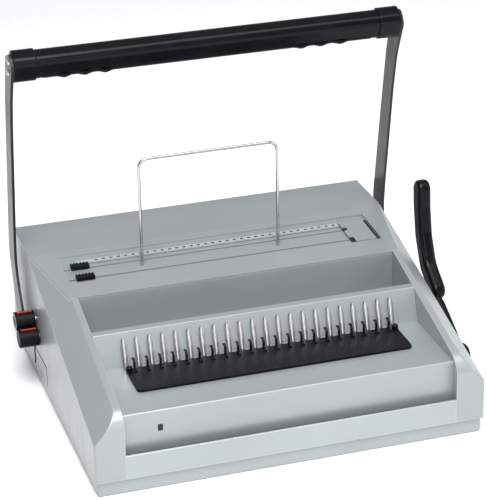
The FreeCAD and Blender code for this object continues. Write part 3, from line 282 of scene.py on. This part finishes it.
def slab(mesh, place, outline, low, high, bevel=0.0):
    """A flat plate from an outline in a frame's XY plane, with its upper rim drawn in by bevel."""
    count = len(outline)
    centre = Vector((sum(x for x, y in outline) / count, sum(y for x, y in outline) / count))
    levels = [(low, 0.0), (high - bevel, 0.0)] + ([(high, bevel)] if bevel else [])
    rings = []
    for height, inset in levels:
        ring = []
        for x, y in outline:
            spot = Vector((x, y))
            spot += (centre - spot).normalized() * inset
            ring.append(mesh.verts.new(place @ Vector((spot.x, spot.y, height))))
        rings.append(ring)
    mesh.faces.new(list(reversed(rings[0])))
    mesh.faces.new(rings[-1])
    for lower, upper in zip(rings, rings[1:]):
        for step in range(count):
            after = (step + 1) % count
            mesh.faces.new((lower[step], lower[after], upper[after], upper[step]))


def rectangle(half_x, half_y):
    """Outline of a rectangle round the origin."""
    return [(-half_x, -half_y), (half_x, -half_y), (half_x, half_y), (-half_x, half_y)]


# ------------------------------------------------------------------ details on the housing
left_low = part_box("left_side_panel")[0]
upper_low, upper_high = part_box("upper_knob")
lower_low, lower_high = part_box("lower_knob")

# Dark crosses on the heads of the rear cover's screws, each turned its own way: painted shade of the
# cross recesses.
cross_half_length = 0.0019
cross_half_width = 0.00035
screw_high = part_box("cover_screws")[1]
crosses = bmesh.new()
for across in (-0.185, -0.065, 0.065, 0.185):
    for up in (0.030, 0.125):
        for turn in (0, math.pi / 2):
            place = facing((across, screw_high.y - 0.00001, up), (0, 1, 0), 0.4 + 9 * across + turn)
            slab(crosses, place, rectangle(cross_half_length, cross_half_width), -0.0001, 0.00002)
piece("cover_screw_recess_shade", crosses, "housing", hole_shade)

# Bright rim round the outer end of the upper dial.
ring = bmesh.new()
hub = Vector((upper_low.x, (upper_low.y + upper_high.y) / 2, (upper_low.z + upper_high.z) / 2))
radius = (upper_high.y - upper_low.y) / 2
lathe(ring, facing(hub, (-1, 0, 0)), [
    (radius - 0.0032, -0.0002), (radius - 0.0032, 0.00002), (radius - 0.0030, 0.00004),
    (radius - 0.0018, 0.00004), (radius - 0.0016, 0.00002), (radius - 0.0016, -0.0002)], 48)
piece("upper_dial_rim", ring, "upper_dial", LOOKS["plain_steel"])

# Arc of grey ticks on the wall beside each dial, every third one longer.
tick_count = 7
tick_spacing = 14
tick_clearance = 0.0035
long_half = 0.0016
short_half = 0.0010
half_width = 0.00025
ticks = bmesh.new()
for low, high, first in ((upper_low, upper_high, 20), (lower_low, lower_high, 150)):
    axis = Vector((left_low.x, (low.y + high.y) / 2, (low.z + high.z) / 2))
    reach = (high.y - low.y) / 2 + tick_clearance
    for step in range(tick_count):
        angle = math.radians(first + tick_spacing * step)
        half_length = short_half if step % 3 else long_half
        centre = axis + Vector((0, math.cos(angle), math.sin(angle))) * reach
        frame_here = facing(centre, (-1, 0, 0))
        direction = frame_here.inverted().to_3x3() @ Vector((0, math.cos(angle), math.sin(angle)))
        turned = frame_here @ Matrix.Rotation(math.atan2(direction.y, direction.x), 4, "Z")
        slab(ticks, turned, rectangle(half_length, half_width), 0.00002, 0.00014)
piece("dial_ticks", ticks, "housing", grey_ink)

# Painted shade: a dark slab in each window of the hole strip, where the throat lies in shade.
strip_low, strip_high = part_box("hole_strip")
loops = 34
loop_pitch = 0.0084667
window_half = 0.00165
below_face = 0.0014
window_shade = bmesh.new()
for step in range(loops):
    across = (step - (loops - 1) / 2) * loop_pitch
    place = facing((across, (strip_low.y + strip_high.y) / 2, strip_low.z + below_face), (0, 0, 1))
    slab(window_shade, place, rectangle(window_half, window_half), 0.0, 0.00006)
piece("strip_window_shade", window_shade, "housing", hole_shade)

# Painted shade: a dark slab on the floor of the gap round the end plate, tilted like the slot deck.
deck_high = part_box("slot_deck")[1]
fold_along = 0.092
slope = (0.1423 - 0.1364) / (fold_along + 0.016)
recess_depth = 0.003
gap_middle = Vector((0.1638, 0.0445, 0))
gap_middle.z = deck_high.z - (fold_along - gap_middle.y) * slope - recess_depth
tilted = Matrix.Translation(gap_middle) @ Matrix.Rotation(math.atan(slope), 4, "X")
gap_shade_slab = bmesh.new()
slab(gap_shade_slab, tilted, rectangle(0.0170, 0.0271), -0.0001, 0.00012)
piece("end_plate_gap_shade", gap_shade_slab, "housing", hole_shade)

# Painted shade of the gap round the drawer: a black band in the drawer's mouth, and a black band round
# three sides of the drawer's face.
face_low, face_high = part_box("drawer_front")
mouth_gap = 0.0014
face_margin = 0.0012
running_gap = 0.0002
wall_plane = left_low.x + 0.00003
mouth_place = Matrix(((0, 0, -1, 0), (-1, 0, 0, 0), (0, 1, 0, 0), (0, 0, 0, 1)))


def drawer_gap_shade(name, body, reach, width, outer, depth):
    """An upside-down U of painted shade for the gap round the drawer's face, reach beyond it, with its
    outer side at a given X.
    """
    front = -(face_low.y - reach)
    rear = -(face_high.y + reach)
    top = face_high.z + reach
    low = face_low.z + running_gap
    outline = [(front, low), (front, top), (rear, top), (rear, low), (rear + width, low),
               (rear + width, top - width), (front - width, top - width), (front - width, low)]
    mesh = bmesh.new()
    slab(mesh, mouth_place, outline, -outer - depth, -outer)
    piece(name, mesh, body, hole_shade)


mouth_shade_depth = 0.0016
face_shade_depth = 0.0027
drawer_gap_shade("drawer_mouth_shade", "housing", face_margin + mouth_gap, mouth_gap - running_gap,
           wall_plane, mouth_shade_depth)
drawer_gap_shade("drawer_face_shade", "waste_drawer", face_margin, face_margin, wall_plane, face_shade_depth)

# Painted shade: a small dark slab near the left end of the front wall, standing in for a shaded slot.
shaded_slot = bmesh.new()
slab(shaded_slot, facing((-0.14055, -0.19501, 0.06465), (0, -1, 0)), rectangle(0.00265, 0.00365), 0.0, 0.0004,
     0.0002)
piece("front_slot_shade", shaded_slot, "housing", hole_shade)


# ------------------------------------------------------------------ stage, light and camera
def stage_floor():
    mesh = bmesh.new()
    reach = 9.0
    corners = [mesh.verts.new((x, y, 0.0)) for x, y in ((-reach, -reach), (reach, -reach), (reach, reach),
                                                        (-reach, reach))]
    mesh.faces.new(corners)
    data = bpy.data.meshes.new("floor")
    mesh.to_mesh(data)
    mesh.free()
    recipe = Recipe("floor_paper")
    fibre = recipe.noise(120.0, 4.0)
    colour = recipe.blend(recipe.ramp(fibre, 0.3, 0.7), (0.86, 0.86, 0.86), (0.90, 0.90, 0.90))
    data.materials.append(recipe.finish(colour, 0.8))
    floor = bpy.data.objects.new("floor", data)
    bpy.context.scene.collection.objects.link(floor)


def area_light(name, place, aim, width, height, power):
    data = bpy.data.lights.new(name, "AREA")
    data.shape = "RECTANGLE"
    data.size = width
    data.size_y = height
    data.energy = power
    lamp = bpy.data.objects.new(name, data)
    lamp.location = place
    lamp.rotation_euler = (Vector(aim) - Vector(place)).to_track_quat("-Z", "Y").to_euler()
    bpy.context.scene.collection.objects.link(lamp)


stage_floor()
area_light("key_light", (-0.5, -1.5, 2.5), (0, 0, 0.1), 1.5, 1.5, 85)
area_light("fill_light", (2.2, -1.4, 1.3), (0, 0, 0.15), 1.8, 1.4, 18)
area_light("front_light", (-0.3, -2.8, 1.0), (0, 0, 0.12), 1.6, 1.2, 14)
area_light("top_light", (0.1, -0.8, 2.7), (0, 0, 0.1), 2.2, 1.4, 40)
world = bpy.data.worlds.new("studio")
world.use_nodes = True
world.node_tree.nodes["Background"].inputs["Color"].default_value = (0.95, 0.97, 1.0, 1.0)
world.node_tree.nodes["Background"].inputs["Strength"].default_value = 0.5
bpy.context.scene.world = world
bpy.context.scene.view_settings.view_transform = "Standard"

camera_data = bpy.data.cameras.new("camera")
camera_data.sensor_fit = "HORIZONTAL"
camera_data.sensor_width = 36.0
camera_data.lens = 158.3
camera_data.clip_end = 50.0
camera = bpy.data.objects.new("camera", camera_data)
ahead = Vector((0.26748, 0.87086, -0.41237)).normalized()
rightward = Vector((0.95341, -0.30117, -0.01762)).normalized()
upward = rightward.cross(ahead).normalized()
turn = Matrix((rightward, upward, -ahead)).transposed()
camera.matrix_world = Matrix.Translation((-0.61899, -2.05300, 1.12875)) @ turn.to_4x4()
bpy.context.scene.collection.objects.link(camera)
bpy.context.scene.camera = camera
